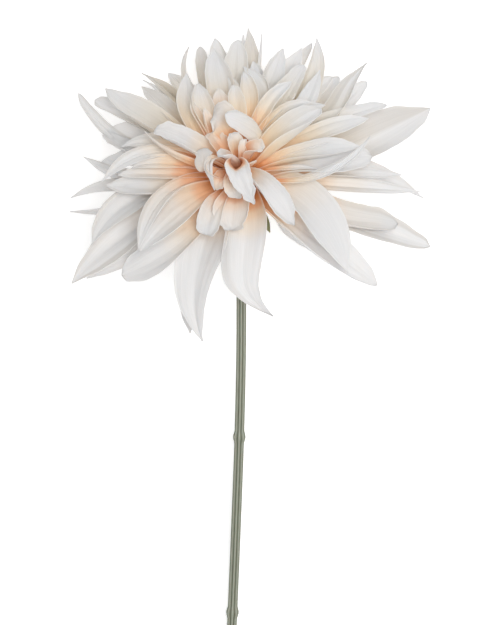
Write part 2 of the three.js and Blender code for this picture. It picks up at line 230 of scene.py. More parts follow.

# In millimetres, seen from above: where the middle of the petal lies (across, up),
# where its tip lies (across, up), how far the tip stands in front of the base, the
# width, and what else shapes it:
# belly and blunt, how far along it is widest and how round its tip is
# bend_lift, how far its middle stands in front of the base
# flick and snake, how far its tip and its whole length sweep sideways
# lean and twist, its turn about its length in degrees
# root_curl and tip_curl, its roll at either end in radians
# fold and painted shade, how its left and right rims fold beyond fold_from, and how dark the shade painted
# on them there is
# mouth, where along it a rolled one opens
# pleated, torn and warm, how strong its pleats, its tears and its warm root are
PETALS_IN_SIGHT = [
    # right, from the top down
    ("outer", 53, 36, 64, 72, 8, 20,
     dict(flick=-13, root_width=10, belly=0.4, blunt=-0.2, twist=0, painted_shade_left=0.45, painted_shade_right=0.3,
          fold_from=0.2)),
    ("outer", 43, 29, 76, 59, 2, 15, dict(blunt=0.9)),
    ("back", 58, 15, 114, 43, -8, 38,
     dict(belly=0.62, blunt=0.3, fold_left=0.3, fold_right=0, fold_from=0.1, twist=0, painted_shade_left=0.48,
          painted_shade_right=0)),
    ("outer", 47, 31, 88, 45, 12, 15, dict(blunt=0.9)),
    ("middle", 42, 25, 77, 37, 18, 15, dict(blunt=0.3)),
    ("inner", 39, 15, 72, 20, 25, 18, dict(tip_curl=0.9, warm=0.85)),
    ("middle", 48, 3, 78, 26, 25, 6, dict(twist=40, warm=0.7)),
    ("outer", 42, 10, 79, 14, 14, 24, dict(blunt=0.8, bend_lift=19)),
    ("inner", 27, 7, 46, 7, 22, 5, dict(warm=1.5)),
    ("back", 60, 7, 110, -11, -22, 21, {}),
    ("outer", 51, 4, 97, 3, -5, 16, dict(warm=1.4)),
    ("outer", 54, -3, 108, -7, -12, 15, dict(warm=1.4)),
    ("outer", 46, -19, 94.5, -26.5, -20, 26,
     dict(blunt=1.1, warm=1.7, twist=0, bend_lift=-8, painted_shade_left=0.3, painted_shade_right=0.25, tip_curl=0.9)),
    ("back", 57, -20, 114, -40, -30, 23, dict(blunt=0.9, twist=0, painted_shade_left=0.45, painted_shade_right=0.4)),
    ("middle", 40, -15.2, 64.5, -55.5, -12, 31,
     dict(warm=0.5, root_width=14, bend_lift=6, twist=0, painted_shade_left=0, painted_shade_right=0)),
    ("back", 45.8, -36, 82.5, -63, -35, 28,
     dict(blunt=0.55, root_width=22, belly=0.45, twist=0, painted_shade_left=0, painted_shade_right=0)),
    # below, over the stem
    ("outer", 1.5, -43, 7, -84, -38, 32,
     dict(flick=13, snake=2, root_width=28, belly=0.35, fold_left=0, fold_right=-0.3, fold_from=0.5,
          painted_shade_right=0.25, painted_shade_left=0, warm=0.6, twist=0)),
    ("outer", -25, -50, -26, -97, -52, 33,
     dict(root_width=16, belly=0.34, blunt=-0.1, pleated=1.6, twist=0, flick=4, warm=0.55, painted_shade_left=0,
          painted_shade_right=0, fold_left=0, fold_right=0)),
    ("back", -25, -49, -30, -92, -60, 20, {}),
    ("middle", -4, -14, -5, -30, 0, 25, dict(blunt=0.9, warm=1.6, torn=1, twist=0)),
    ("middle", -15, -17, -20, -33, 0, 17, dict(blunt=1.3, warm=1.5, twist=0)),
    # left, from the bottom up
    ("middle", -42, -7, -61, -42, 6, 15, dict(fold_left=0.9, twist=0, warm=1.2)),
    ("middle", -34, -17, -60, -43, -3, 24, dict(warm=1.2, twist=0, painted_shade_left=0, painted_shade_right=0.2)),
    ("outer", -36, -37, -71, -57, -28, 24, dict(blunt=1, warm=1.3)),
    ("back", -51, -35, -92, -59, -38, 19, {}),
    ("outer", -55, -24, -101, -62, -30, 26, dict(blunt=0.2, painted_shade_left=0.45, painted_shade_right=0.3)),
    ("outer", -59, -8, -89, -39, -12, 25, dict(fold_right=1.5, painted_shade_left=0.2, painted_shade_right=0.3)),
    ("back", -57, -16, -102, -19, -40, 8, {}),
    ("back", -60, -3, -100, -6, -25, 12, dict(flick=6, blunt=0.3, twist=0)),
    ("outer", -45, -5, -80, -3, 2, 21, dict(twist=0, warm=1.4)),
    ("middle", -45, 4, -73, 3, 8, 12, dict(warm=1.3)),
    ("middle", -48, 17, -83, -1, 15, 13, {}),
    ("middle", -43, 10, -65, 7, 14, 10, dict(warm=1.4)),
    ("outer", -45, 12, -83, 11, -5, 16, dict(blunt=0.5)),
    ("back", -54, -4, -94, 14, -20, 11, dict(snake=1.5)),
    ("back", -62.5, 17, -97, 52, -10, 11, dict(belly=0.35, blunt=0.9, twist=0, fold_left=0, fold_right=0)),
    ("back", -50, 15, -79, 30, -5, 27, dict(blunt=1.1, twist=0)),
    ("outer", -48, 30, -87, 48, -2, 17, dict(blunt=1)),
    ("outer", -46, 30, -84, 52, 8, 23, dict(flick=-5, blunt=0.1)),
    ("outer", -36, 34, -59, 56, 5, 15, dict(painted_shade_left=0.45, painted_shade_right=0.45, fold_from=0)),
    ("back", -32, 43, -59, 64, -5, 10,
     dict(belly=0.45, blunt=-0.6, painted_shade_left=0.4, painted_shade_right=0.4, fold_from=0)),
    ("back", -34, 41, -58.5, 60, -8, 8, dict(belly=0.45, blunt=-0.6)),
    ("inner", -27, 19, -51, 30, 32, 20, dict(blunt=1.3, torn=1)),
    ("inner", -35, 12, -57, 29, 24, 8, dict(lean=55, warm=1.7, painted_shade_left=0, painted_shade_right=0)),
    ("middle", -42, 21, -71, 20, 10, 15, dict(warm=1.4)),
    # above, from the left to the right
    ("back", -27, 45, -43, 64, -14.2, 13, {}),
    ("outer", -32, 48, -30.5, 80, 5, 8,
     dict(lean=55, belly=0.45, painted_shade_left=0.3, painted_shade_right=0.3, fold_from=0)),
    ("inner", -19, 33, -25, 58, 30, 17, dict(blunt=0.4, warm=1.5, twist=0)),
    ("middle", -26, 33, -32, 64, 22, 18, dict(twist=0, warm=1.3)),
    ("inner", -22, 31, -29, 48, 30, 8, dict(warm=1.7, painted_shade_left=0, painted_shade_right=0)),
    ("inner", -17, 29, -21, 43, 33, 10, dict(warm=1.9, painted_shade_left=0, painted_shade_right=0)),
    ("middle", -11, 44, -16, 79, 20, 22, {}),
    ("outer", -8, 48, -15, 85, 8, 17, dict(blunt=0.4)),
    ("outer", -17, 45, -24, 80, 8, 11, dict(twist=0, blunt=1, painted_shade_left=0.3, painted_shade_right=0.3, fold_from=0)),
    ("outer", -1, 43, 2, 83, 0, 15, {}),
    ("outer", -3, 45, -1, 84, 15, 18, dict(blunt=0.8, belly=0.65)),
    ("back", 7, 47, 5, 91, 6, 15, dict(painted_shade_left=0.35, painted_shade_right=0.35, fold_from=0)),
    ("outer", 9, 48, 13, 87.5, 8, 3.5, dict(lean=40, blunt=0.4, root_width=3)),
    ("back", 1, 48, 2, 87, 3, 10, {}),
    ("inner", 6, 43, 2, 65, 25, 14, dict(warm=1.5, painted_shade_right=0.4)),
    ("middle", 13, 44, 2, 68, 18, 16, {}),
    ("outer", 10, 44, 8, 71, 12, 13, dict(blunt=0.5)),
    ("inner", -1, 36, -4, 57, 33, 13, dict(blunt=0.6, warm=1.5)),
    ("inner", -9, 35, -13, 55, 28, 14, dict(blunt=0.2, warm=1.9)),
    ("middle", -1, 41, -7, 64, 22, 9, {}),
    # above on the right
    ("outer", 14, 45, 26, 79, 12, 16, dict(blunt=0.2)),
    ("outer", 19, 44, 37, 79, 5, 17, dict(blunt=0.3)),
    ("middle", 21, 41, 38, 69, 16, 15, dict(blunt=0.9)),
    ("back", 22, 46, 43, 82, -2.9, 14, dict(blunt=0.6)),
    ("outer", 38, 45, 46, 85, 10, 14, {}),
    ("middle", 32, 34, 48, 66, 18, 14, {}),
    ("back", 29, 36, 55, 62, 5, 15, dict(blunt=0.9)),
    ("back", 38, 38, 59, 62, -5, 18, dict(blunt=0.5)),
    ("inner", 14, 40, 31, 59, 28, 13, dict(blunt=0.3, warm=1.2)),
    ("inner", 20, 35, 43, 47, 28, 12, dict(warm=1.1)),
    ("middle", 24, 31, 51, 45, 24, 20, dict(warm=0.8)),
    ("inner", 25, 24, 48.5, 43, 32, 25,
     dict(blunt=0.6, warm=0.8, root_curl=2.2, twist=0, fold_left=0.2, fold_right=0.9, fold_from=0.35)),
    # the heart
    ("heart", -1.5, 5, 8.5, -14.5, 20, 18.5,
     dict(bend_lift=35, belly=0.25, blunt=0.5, root_width=17, root_curl=2.7, tip_curl=0.4, mouth=0.40,
          torn=2, warm=0.75)),
    ("heart", 16.5, -6, 32.5, -27, 8, 18,
     dict(blunt=0.2, bend_lift=24, root_width=9, warm=0.4, torn=1, twist=0)),
    ("heart", -10, 2, -14, -6, 18, 10, dict(bend_lift=24, torn=1.5, warm=1.9, blunt=0.5)),
    ("heart", -4, -1, -1, -11, 17, 14, dict(bend_lift=24, torn=1.5, warm=1.5, blunt=0.5)),
    ("heart", -17.2, 12.5, -15.3, -6, 22, 5.5, dict(bend_lift=33, torn=1.2, blunt=0.5)),
    ("heart", -19, 6, -21.5, 19, 27, 11,
     dict(belly=0.75, blunt=1.5, bend_lift=30, lean=-33, root_curl=1.2, tip_curl=0.2, warm=1.5, torn=1.2,
          twist=0)),
    ("heart", -7, 12, -13, 14, 37, 14, dict(blunt=0.8, bend_lift=28, tip_curl=1.5, torn=1)),
    ("heart", -9, 17, -18, 28, 28, 15, dict(blunt=1.2, bend_lift=22, warm=2, torn=1, twist=0)),
    ("heart", 13.2, 25.5, -9, 39, 44, 18,
     dict(belly=0.7, blunt=0.9, bend_lift=24, lean=-48, twist=0, warm=0.8)),
    ("heart", 7, 17, 13.5, 18, 32, 15, dict(bend_lift=28, tip_curl=1.0, warm=2.1, blunt=0.9, torn=1.3)),
    ("heart", -7, 31.5, -16.5, 37, 32, 22,
     dict(belly=0.75, blunt=1.5, bend_lift=29, torn=0.8, lean=-18, twist=0, tip_curl=0.3, warm=1.3)),
    ("heart", -2, 19, -5, 28, 33, 12, dict(blunt=1, warm=1.5, torn=1)),
    ("heart", 2, 16, 3, 24.5, 36, 8, dict(warm=2.2, blunt=1.2)),
    ("heart", 6, 9, 9.5, 11.5, 32, 7, dict(bend_lift=26, warm=2)),
]

# the petals out of sight behind them stand in rings, with none where the stem comes out
HIDDEN_RINGS = [
    dict(count=11, layer="back", reach=60, lift=-34, width=20, turn=15),
    dict(count=7, layer="back", reach=46, lift=-44, width=17, turn=33),
]
HIDDEN_TURN_SCATTER = 14
HIDDEN_SCATTER = 6
HIDDEN_BEND = 0.55
BARE_FROM = 248
BARE_TO = 335
PETAL_SEED = 411
SEED_STEP = 16807
SEED_RANGE = 2147483647
SEEN_ROUNDS = 6


def make_draw(seed):
    """A seeded draw between 0 and 1."""
    state = [seed]

    def draw():
        state[0] = (state[0] * SEED_STEP) % SEED_RANGE
        return state[0] / SEED_RANGE

    return draw


def seen_point(x, y, lift):
    """A point given as it looks from above, and how far it stands before the base."""
    z = 0
    for _ in range(SEEN_ROUNDS):
        nearer = EYE_HEIGHT / (EYE_HEIGHT - z)
        px = EYE_X + (x - EYE_X) / nearer
        py = EYE_Y + (y - EYE_Y) / nearer
        z = (lift - FACE.y * py) / FACE.z
    return Vector((px, py, z))


def outward_to(place):
    """The way out from the flower's axis to a place."""
    return (place - FACE * place.dot(FACE)).normalized()


def outward_at(angle):
    """The way out from the flower's axis at an angle round it."""
    return ACROSS * math.cos(angle) + UPWARD * math.sin(angle)


def breadth(t, belly, root_share, blunt):
    """Half the blade's width, as a share of its fullest, at a place along it."""
    if t < belly:
        return root_share + (1 - root_share) * math.sin(t / belly * math.pi / 2) ** SHOULDER
    fall = (t - belly) / (1 - belly)
    return max(1 - fall * fall, 0) ** (1 - BLUNTNESS * blunt)


def drawn(trait, phase):
    """How far, from -1 to 1, a petal's own phase moves one of its traits."""
    often, start = trait
    return math.sin(phase * often + start)


def ripple(kind, place, phase, start=0):
    """How strong one of the ripples is at a place along or across the blade."""
    strength, often, moved = kind
    return strength * math.sin(often * place + moved * phase + start)


def share_before(place, edge, softness):
    """1 before an edge along the blade and 0 beyond it, with a soft change between."""
    return 1 / (1 + math.exp((place - edge) / softness))


def rolled(v, curl, fold, fold_from):
    """How far across and how deep a place lies once the blade is rolled and its rim folded."""
    across = 0
    deep = 0
    for step in range(ROLL_STEPS):
        w = v * (step + 0.5) / ROLL_STEPS
        fold_share = min(max(abs(w) - fold_from, 0) / FOLD_SPREAD, 1)
        angle = curl * w + math.copysign(fold * fold_share, w)
        across += math.cos(angle) * v / ROLL_STEPS
        deep += math.sin(angle) * v / ROLL_STEPS
    return across, deep


def shape_blade(blade, root, bend, tip, width, look):
    """Bends the flat blank: its length runs from root to tip, its width is rolled."""
    control = bend * 2 - root / 2 - tip / 2
    outward = outward_to(bend)
    around = FACE.cross(outward)
    root_share = min(1, look["root_width"] / width)
    phase = look["phase"]
    shade = blade.data.attributes.new("shade", "FLOAT", "POINT")
    for point in blade.data.vertices:
        t = (point.co.x + 1) / 2
        v = point.co.y
        s = 1 - t
        middle = math.sin(math.pi * t)

        # the line along its middle, and which way its width and its face look there
        spine = root * (s * s) + control * (2 * s * t) + tip * (t * t)
        run = (root * -s + control * (s - t) + tip * t).normalized()
        side = (around - run * around.dot(run)).normalized()
        front = run.cross(side)
        late = max((t - FLICK_FROM) / (1 - FLICK_FROM), 0) ** 2
        spine = spine + side * (late * look["flick"] + math.sin(2 * math.pi * t) * look["snake"])
        lean = math.radians(look["lean"] + look["twist"] * t ** TWIST_LATE)
        wide = side * math.cos(lean) + front * math.sin(lean)
        deep = front * math.cos(lean) - side * math.sin(lean)

        # half its width there, with uneven rims
        half = width / 2 * breadth(t, look["belly"], root_share, look["blunt"])
        half *= 1 + middle * (ripple(SWELL, t, phase) + v * ripple(RIM_SWELL, t, phase))
        tears = ripple(TEARS, t, phase, math.copysign(TEARS_APART, v))
        half *= 1 + look["torn"] * max(t - TEARS_FROM, 0) * tears
        notches = ripple(NOTCHES, t, phase, math.copysign(NOTCHES_APART, v))
        half *= 1 + look["torn"] * max(t - NOTCHES_FROM, 0) * notches
        half = max(half, NARROWEST)

        # its roll, its rim's fold, and the shade painted on its rims and on left-hand petals
        open_share = s ** OPENING
        if look["mouth"] is not None:
            open_share = share_before(t, look["mouth"], MOUTH_SOFT)
        curl = look["root_curl"] * open_share + look["tip_curl"] * (1 - open_share)
        fold = look["fold_left"] if v > 0 else look["fold_right"]
        rim_painted_shade = look["painted_shade_left"] if v > 0 else look["painted_shade_right"]
        rim_painted_shade *= min(max((abs(v) - look["fold_from"]) / PAINTED_SHADE_SOFT + 0.5, 0), 1)
        # painted shade: petals that reach out to the left are darker, as the lamp lies to the right
        shade.data[point.index].value = rim_painted_shade + LEFTWARD_PAINTED_SHADE * max(-outward.x, 0)
        across, height = rolled(v, curl, fold * middle ** FOLD_FADE, look["fold_from"])

        # its waved rims, its pleats, the groove in its middle and its ragged tip
        rim = look["wave"] * middle * v * v * ripple(RIM_WAVE, t, phase, v)
        pleat = ripple(PLEATS, v, phase, PLEATS_SLANT * t)
        pleat += ripple(FINE_PLEATS, v, phase, FINE_PLEATS_SLANT * t)
        groove = -GROOVE_DEEP * math.exp(-(v / GROOVE_HALF) ** 2)
        lift = half * height + rim + middle * (pleat + groove) * look["pleated"]
        rag = ripple(RAG, v, phase) + ripple(FINE_RAG, v, phase)
        at_tip = max(t - RAG_FROM, 0) / (1 - RAG_FROM)
        torn = look["torn"] * min(half / RAG_HALF, 1) * at_tip * rag
        point.co = BASE_PLACE + (spine + wide * (half * across) + deep * lift + run * torn) * MM


def petal_look(layer, own_look, phase):
    """All that shapes a petal: what its layer and its phase give, unless its row has its own."""
    left = max(drawn(DRAWN_LEFT, phase), 0)
    right = max(drawn(DRAWN_RIGHT, phase), 0)
    look = dict(
        phase=phase, root_width=ROOT_WIDTH, belly=BELLY, blunt=0, flick=0, snake=0, lean=0,
        mouth=None, root_curl=layer["root_curl"], tip_curl=layer["tip_curl"],
        twist=TWIST_MOST * drawn(DRAWN_TWIST, phase),
        wave=WAVE * (1 + WAVE_SPREAD * drawn(DRAWN_WAVE, phase)),
        fold_left=FOLD_MOST * left, fold_right=FOLD_MOST * right,
        painted_shade_left=PAINTED_SHADE_MOST * left, painted_shade_right=PAINTED_SHADE_MOST * right,
        fold_from=FOLD_FROM, pleated=1, torn=TORN, warm=1,
    )
    look.update(own_look)
    return look


bpy.ops.object.select_all(action="DESELECT")
bpy.ops.mesh.primitive_grid_add(x_subdivisions=PETAL_STEPS, y_subdivisions=PETAL_LANES, size=2)
blank_petal = bpy.context.object
blank_petal.name = "blank_petal"

petals_of = {name: [] for name in LAYERS}


def add_petal(layer_name, bend, tip, width, own_look, draw):
    """Shapes a copy of the blank, and writes on it how warm and how cool each place is."""
    layer = LAYERS[layer_name]
    petal = blank_petal.copy()
    petal.data = blank_petal.data.copy()
    bpy.context.collection.objects.link(petal)
    phase = draw() * 2 * math.pi
    look = petal_look(layer, own_look, phase)
    outward = outward_to(bend)
    root = outward * layer["radius"] + FACE * layer["height"]
    shape_blade(petal, root, bend, tip, width, look)
    warmth = petal.data.attributes.new("warmth", "FLOAT", "POINT")
    tone = petal.data.attributes.new("tone", "FLOAT", "POINT")
    own_warmth = layer["warmth"] * look["warm"]
    own_warmth *= WARMTH_LEAST + WARMTH_SPREAD * drawn(DRAWN_WARMTH, phase) ** 2
    upward = outward.dot(UPWARD)
    own_tone = COOL_SIDE - COOL_SIDE * max(upward, 0) + COOL_BELOW * max(-upward, 0)
    own_tone += COOL_SPREAD * drawn(DRAWN_TONE, phase)
    for i in range(len(petal.data.vertices)):
        in_throat = 0
        if look["mouth"] is not None:
            t = i % (PETAL_STEPS + 1) / PETAL_STEPS
            in_throat = share_before(t, look["mouth"], THROAT_SOFT)
        warmth.data[i].value = own_warmth * (1 + THROAT_WARMTH * in_throat)
        tone.data[i].value = own_tone
    petals_of[layer_name].append(petal)


draw_petal = make_draw(PETAL_SEED)
for layer_name, bend_x, bend_y, tip_x, tip_y, lift, width, own_look in PETALS_IN_SIGHT:
    layer = LAYERS[layer_name]
    bend_lift = own_look.get("bend_lift", (layer["height"] + lift) / 2 + layer["arch"])
    bend = seen_point(bend_x, bend_y, bend_lift)
    add_petal(layer_name, bend, seen_point(tip_x, tip_y, lift), width, own_look, draw_petal)
for ring in HIDDEN_RINGS:
    layer = LAYERS[ring["layer"]]
    for number in range(ring["count"]):
        degrees = ring["turn"] + 360 * number / ring["count"]
        degrees += (draw_petal() - 0.5) * HIDDEN_TURN_SCATTER
        reach = ring["reach"] + (draw_petal() - 0.5) * HIDDEN_SCATTER
        lift = ring["lift"] + (draw_petal() - 0.5) * HIDDEN_SCATTER
        if BARE_FROM < degrees < BARE_TO:
            continue
        outward = outward_at(math.radians(degrees))
        bend_lift = (layer["height"] + lift) / 2 + layer["arch"]
        bend = outward * (reach * HIDDEN_BEND) + FACE * bend_lift
        tip = outward * reach + FACE * lift
        add_petal(ring["layer"], bend, tip, ring["width"], {}, draw_petal)
bpy.data.objects.remove(blank_petal)


def feed(tree, socket, value):
    """Gives an input its value, or the output that feeds it."""
    if isinstance(value, bpy.types.NodeSocket):
        tree.links.new(value, socket)
    else:
        socket.default_value = value


def counted(tree, operation, *values, clamp=False):
    """What a sum of values or outputs comes to."""
    node = tree.nodes.new("ShaderNodeMath")
    node.operation = operation
    node.use_clamp = clamp
    for place, value in enumerate(values):
        feed(tree, node.inputs[place], value)
    return node.outputs["Value"]


def ranged(tree, value, before, after):
    """A value brought from one range into another."""
    node = tree.nodes.new("ShaderNodeMapRange")
    node.inputs["From Min"].default_value = before[0]
    node.inputs["From Max"].default_value = before[1]
    node.inputs["To Min"].default_value = after[0]
    node.inputs["To Max"].default_value = after[1]
    feed(tree, node.inputs["Value"], value)
    return node.outputs["Result"]


def mixed(tree, blend, share, first, second):
    """Two colours mixed by a share of the second."""
    node = tree.nodes.new("ShaderNodeMix")
    node.data_type = "RGBA"
    node.blend_type = blend
    feed(tree, node.inputs["Factor"], share)
    feed(tree, node.inputs["A"], first)
    feed(tree, node.inputs["B"], second)
    return node.outputs["Result"]


def coloured(tree, value, stops, interpolation="LINEAR"):
    """The colour that a value has between stops, each a place and a colour."""
    node = tree.nodes.new("ShaderNodeValToRGB")
    ramp = node.color_ramp
    ramp.interpolation = interpolation
    while len(ramp.elements) < len(stops):
        ramp.elements.new(0.5)
    for element, (place, colour) in zip(ramp.elements, stops):
        element.position = place
        element.color = (*colour, 1)
    feed(tree, node.inputs["Fac"], value)
    return node.outputs["Color"]


def place_on(tree):
    """The place on a piece: whole, along it, and across or around it."""
    uv = tree.nodes.new("ShaderNodeUVMap")
    uv.uv_map = "UVMap"
    split = tree.nodes.new("ShaderNodeSeparateXYZ")
    feed(tree, split.inputs["Vector"], uv.outputs["UV"])
    return uv.outputs["UV"], split.outputs["X"], split.outputs["Y"]


def noise(tree, place, scale, detail):
    """Soft noise over places."""
    node = tree.nodes.new("ShaderNodeTexNoise")
    node.inputs["Scale"].default_value = scale
    node.inputs["Detail"].default_value = detail
    feed(tree, node.inputs["Vector"], place)
    return node.outputs["Fac"]


def lengthwise_noise(tree, place, stretch, detail):
    """Noise drawn out along a piece."""
    mapping = tree.nodes.new("ShaderNodeMapping")
    mapping.inputs["Scale"].default_value = stretch
    feed(tree, mapping.inputs["Vector"], place)
    return noise(tree, mapping.outputs["Vector"], 1, detail)


def written_value(tree, name):
    """A value that was written on each petal."""
    node = tree.nodes.new("ShaderNodeAttribute")
    node.attribute_name = name
    return node.outputs["Fac"]


def add_relief(tree, surface, height, strength):
    """Gives a surface fine relief."""
    bump = tree.nodes.new("ShaderNodeBump")
    bump.inputs["Strength"].default_value = strength
    bump.inputs["Distance"].default_value = RELIEF_DEEP
    feed(tree, bump.inputs["Height"], height)
    feed(tree, surface.inputs["Normal"], bump.outputs["Normal"])


petal_tissue, tissue = make_material("petal_tissue", {
    "Roughness": 0.62,
    "Specular IOR Level": 0.25,
    "Subsurface Weight": 0.3,
    "Subsurface Radius": (1.0, 0.85, 0.75),
    "Subsurface Scale": 0.002,
    "Sheen Weight": 0.15,
})
tree = petal_tissue.node_tree
place, along, across = place_on(tree)

# the peach root reaches further up the blade where the noise is high
coords = tree.nodes.new("ShaderNodeTexCoord")
blotches = noise(tree, coords.outputs["Object"], BLOTCH_SCALE, detail=2)
shift = counted(tree, "MULTIPLY_ADD", blotches, -BLOTCH_REACH, BLOTCH_REACH / 2)
reach_up = counted(tree, "DIVIDE", along, written_value(tree, "warmth"))
up_blade = counted(tree, "ADD", reach_up, shift)
blush = coloured(tree, up_blade, BLUSH_STOPS, "EASE")

# fine lengthwise veins
veins = lengthwise_noise(tree, place, VEIN_STRETCH, detail=3)
vein_shade = ranged(tree, veins, VEIN_NOISE, VEIN_SHADES)
veined = mixed(tree, "MULTIPLY", 1, blush, vein_shade)

# petals that stand upward and the roots of all are warmer, the others and tips cooler; the warm root cast
# is partly the petals' own tone and partly painted golden shade of the depths between them
cool = counted(tree, "MULTIPLY_ADD", along, COOL_ALONG, written_value(tree, "tone"))
cool_share = counted(tree, "SUBTRACT", cool, COOL_FROM, clamp=True)
tint_and_shade = mixed(tree, "MIX", cool_share, WARM_TINT_AND_SHADE, COOL_CAST)
toned = mixed(tree, "MULTIPLY", 1, veined, tint_and_shade)

# painted shade on folded rims and on left-hand petals, and a thin paler line along both rims
with_painted_shade = mixed(tree, "MULTIPLY", written_value(tree, "shade"), toned, PAINTED_SHADE_COLOUR)
to_rim = counted(tree, "ABSOLUTE", counted(tree, "SUBTRACT", across, 0.5))
rim_share = ranged(tree, to_rim, RIM_PLACES, RIM_SHARES)
petal_colour = mixed(tree, "MIX", rim_share, with_painted_shade, RIM_COLOUR)
feed(tree, tissue.inputs["Base Color"], petal_colour)

# painted light: the petals' roots glow, standing in for light bounced between the petals
painted_glow = ranged(tree, up_blade, PAINTED_GLOW_PLACES, PAINTED_GLOW_STRENGTHS)
feed(tree, tissue.inputs["Emission Color"], petal_colour)
feed(tree, tissue.inputs["Emission Strength"], painted_glow)
add_relief(tree, tissue, veins, VEIN_RELIEF)


def join_blades(name, blades, thickness):
    """Joins blades into one piece and gives them their thickness."""
    bpy.ops.object.select_all(action="DESELECT")
    for blade in blades:
        blade.select_set(True)
    bpy.context.view_layer.objects.active = blades[0]
    bpy.ops.object.join()
    piece = bpy.context.object
    piece.name = name
    piece.data.name = name
    bpy.ops.object.shade_smooth()
    wall = piece.modifiers.new("blade_thickness", "SOLIDIFY")
    wall.thickness = thickness * MM
    wall.offset = 0
    bpy.ops.object.modifier_apply(modifier="blade_thickness")
    bpy.ops.object.shade_smooth_by_angle(angle=SMOOTH_ANGLE)
    piece.data.materials.clear()
    return piece


for name, petals in petals_of.items():
    layer_piece = join_blades(f"petals_{name}", petals, PETAL_THICK)
    layer_piece.data.materials.append(petal_tissue)
    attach(layer_piece, "root")
    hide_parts("bloom")


# The disc that the petals grow from. It is a firm rust-brown dome, hidden under the
# heart petals, and it narrows behind them to where the calyx holds it.
DISC_RADIUS = 11.2
DISC_TOP = 12.2
DISC_BOTTOM = -9
MERGE_GAP = 0.00001
BUD_SCALE = 600
BUD_STOPS = [(0, (0.42, 0.17, 0.06)), (1, (0.20, 0.07, 0.03))]


def close_skin(fill=False):
    """Merges the seam of the piece in hand, fills its ends if asked, and turns its faces out."""
    bpy.ops.object.mode_set(mode="EDIT")
    bpy.ops.mesh.select_all(action="SELECT")
    bpy.ops.mesh.remove_doubles(threshold=MERGE_GAP)
    if fill:
        bpy.ops.mesh.fill_holes(sides=0)
    bpy.ops.mesh.normals_make_consistent(inside=False)
    bpy.ops.object.mode_set(mode="OBJECT")
    bpy.ops.object.shade_smooth()


def turned_piece(name, profile, around=96, up=48):
    """A piece of round section about the flower's axis, from its radius and height steps."""
    bpy.ops.object.select_all(action="DESELECT")
    bpy.ops.mesh.primitive_grid_add(x_subdivisions=around, y_subdivisions=up, size=2)
    piece = bpy.context.object
    piece.name = name
    piece.data.name = name
    for point in piece.data.vertices:
        angle = math.pi * (point.co.x + 1)
        place = (point.co.y + 1) / 2 * (len(profile) - 1)
        step = min(int(place), len(profile) - 2)
        share = place - step
        radius = profile[step][0] * (1 - share) + profile[step + 1][0] * share
        height = profile[step][1] * (1 - share) + profile[step + 1][1] * share
        outward = outward_at(angle)
        point.co = BASE_PLACE + (outward * radius + FACE * height) * MM
    close_skin()
    return piece


disc = turned_piece("disc", [
    (0, DISC_BOTTOM), (DISC_RADIUS * 0.9, DISC_BOTTOM), (DISC_RADIUS, -5), (DISC_RADIUS, 0),
    (DISC_RADIUS * 0.8, 6), (DISC_RADIUS * 0.45, 10.5), (0, DISC_TOP),
])
disc_flesh, flesh = make_material("disc_flesh", {"Roughness": 0.7})
tree = disc_flesh.node_tree
coords = tree.nodes.new("ShaderNodeTexCoord")
buds = tree.nodes.new("ShaderNodeTexVoronoi")
buds.inputs["Scale"].default_value = BUD_SCALE
feed(tree, buds.inputs["Vector"], coords.outputs["Object"])
feed(tree, flesh.inputs["Base Color"], coloured(tree, buds.outputs["Distance"], BUD_STOPS))
disc.data.materials.append(disc_flesh)
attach(disc, "root")
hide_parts("bloom")

# The calyx and its bracts. A smooth green cup holds the disc from behind, and seven
# small leaves stand out of it, bent back from the petals.
CALYX_GAP = 0.3
CALYX_RADIUS = 8.6
CALYX_LENGTH = 13
STEM_RADIUS = 2.75
BRACT_COUNT = 7
BRACT_SEED = 97
BRACT_LENGTH = 19
BRACT_SHORTEST = 0.9
BRACT_SPREAD = 0.2
BRACT_WIDTH = 7.5
BRACT_THICK = 0.5
BRACT_FIRST = -43
BRACT_TURN_SCATTER = 6
BRACT_STEPS = 24
BRACT_LANES = 12
# how far from the axis a bract is rooted, at what share of its length it bends, and how
# far behind the base of the petals its root, its bend and its tip lie
BRACT_OUT = 6
BRACT_BEND = 0.55
BRACT_ROOT_BACK = 14
BRACT_BEND_BACK = 18
BRACT_TIP_BACK = 27
BRACT_LOOK = dict(
    root_width=4, belly=0.5, root_curl=0.9, tip_curl=0.5, twist=0, wave=0,
    fold_left=0, fold_right=0, torn=0,
)
LEAF_STOPS = [(0.3, (0.13, 0.14, 0.05)), (0.72, (0.27, 0.27, 0.13))]
MOTTLE_SCALE = 180
MOTTLE_RELIEF = 0.3

calyx_top = DISC_BOTTOM - CALYX_GAP
calyx_bottom = calyx_top - CALYX_LENGTH
calyx = turned_piece("calyx", [
    (0, calyx_bottom), (STEM_RADIUS + 0.6, calyx_bottom), (STEM_RADIUS + 2, calyx_bottom + 3),
    (CALYX_RADIUS, calyx_top - 5), (CALYX_RADIUS, calyx_top - 1.2),
    (CALYX_RADIUS - 1.2, calyx_top), (0, calyx_top),
])
calyx.data.materials.clear()

